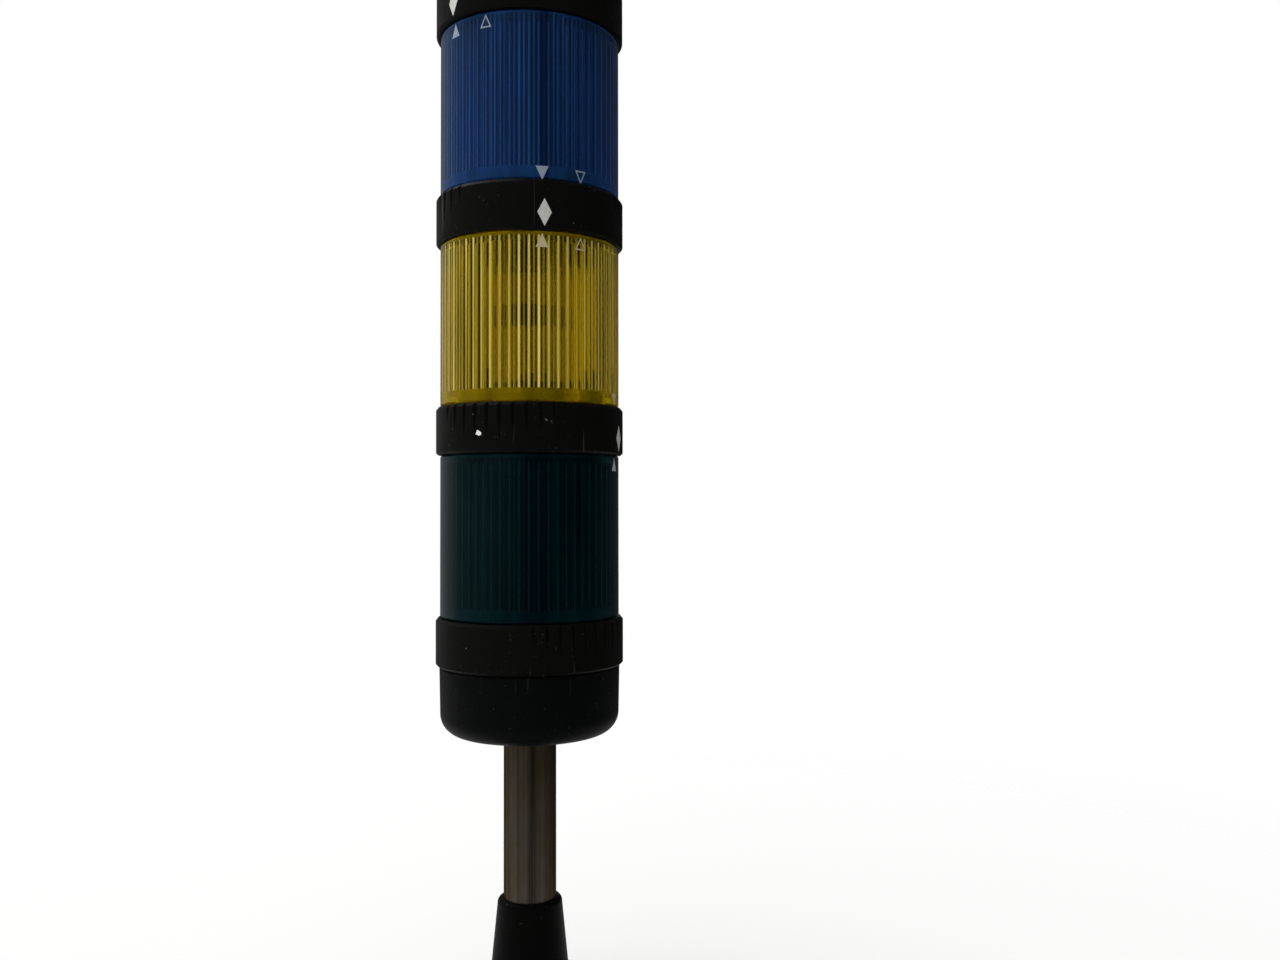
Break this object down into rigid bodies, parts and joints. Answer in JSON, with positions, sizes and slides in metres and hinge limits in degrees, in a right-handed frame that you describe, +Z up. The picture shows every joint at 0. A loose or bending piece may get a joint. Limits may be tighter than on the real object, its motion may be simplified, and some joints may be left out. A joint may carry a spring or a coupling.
{
  "type": "stack light",
  "caption": "Signal tower with green, yellow and blue fluted lamp modules locked by black bayonet rings on a steel tube and round foot.",
  "frame": {"origin": "centre of the foot's underside, on the mounting surface", "axes": "+Z up along the tower's axis; -Y towards the side the picture shows, +X to its right"},
  "size_m": [0.07, 0.07, 0.3058],
  "materials": {
    "housing_plastic": "satin moulded black",
    "carrier_plastic": "moulded black",
    "contact_metal": "tinned spring brass",
    "lamp_metal": "nickel plated",
    "lamp_plastic": "moulded dark grey",
    "holder_plastic": "moulded dark grey",
    "lamp_clear": "clear moulded",
    "blue_lens": "clear moulded plastic, fluted inside",
    "foot_plastic": "satin moulded black",
    "gasket_rubber": "matt",
    "plated_steel": "zinc plated",
    "green_lens": "clear moulded plastic, fluted inside",
    "ring_plastic": "satin moulded black, worn",
    "seal_rubber": "matt",
    "terminal_plastic": "grey moulded",
    "cap_plastic": "satin moulded black",
    "tube_steel": "brushed stainless",
    "yellow_lens": "clear moulded plastic, fluted inside"
  },
  "bodies": {
    "tower": {"base_housing": "housing_plastic", "blue_carrier": "carrier_plastic", "blue_contacts": "contact_metal", "blue_lamp_cap": "lamp_metal", "blue_lamp_collar": "lamp_plastic", "blue_lamp_holder": "holder_plastic", "blue_lamp_lid": "lamp_plastic", "blue_lamp_window": "lamp_clear", "blue_lens": "blue_lens", "foot": "foot_plastic", "foot_gasket": "gasket_rubber", "foot_set_screw": "plated_steel", "green_carrier": "carrier_plastic", "green_contacts": "contact_metal", "green_lamp_cap": "lamp_metal", "green_lamp_collar": "lamp_plastic", "green_lamp_holder": "holder_plastic", "green_lamp_lid": "lamp_plastic", "green_lamp_window": "lamp_clear", "green_lens": "green_lens", "seal_1": "seal_rubber", "seal_2": "seal_rubber", "seal_3": "seal_rubber", "seal_4": "seal_rubber", "terminal_block": "terminal_plastic", "terminal_contacts": "contact_metal", "terminal_screws": "plated_steel", "top_cap": "cap_plastic", "tube": "tube_steel", "tube_nut": "plated_steel", "tube_washer": "plated_steel", "yellow_carrier": "carrier_plastic", "yellow_contacts": "contact_metal", "yellow_lamp_cap": "lamp_metal", "yellow_lamp_collar": "lamp_plastic", "yellow_lamp_holder": "holder_plastic", "yellow_lamp_lid": "lamp_plastic", "yellow_lamp_window": "lamp_clear", "yellow_lens": "yellow_lens"},
    "ring_1": {"lock_ring_1": "ring_plastic"},
    "ring_2": {"lock_ring_2": "ring_plastic"},
    "ring_3": {"lock_ring_3": "ring_plastic"},
    "ring_4": {"lock_ring_4": "ring_plastic"}
  },
  "joints": [
    {"name": "ring_1_turn", "type": "hinge", "parent": "tower", "child": "ring_1", "pos_m": [0, 0, 0.11075], "axis": [0, 0, 1], "range_deg": [0, 25]},
    {"name": "ring_2_turn", "type": "hinge", "parent": "tower", "child": "ring_2", "pos_m": [0, 0, 0.17025], "axis": [0, 0, 1], "range_deg": [0, 25]},
    {"name": "ring_3_turn", "type": "hinge", "parent": "tower", "child": "ring_3", "pos_m": [0, 0, 0.22975], "axis": [0, 0, 1], "range_deg": [0, 25]},
    {"name": "ring_4_turn", "type": "hinge", "parent": "tower", "child": "ring_4", "pos_m": [0, 0, 0.28925], "axis": [0, 0, 1], "range_deg": [0, 25]}
  ]
}
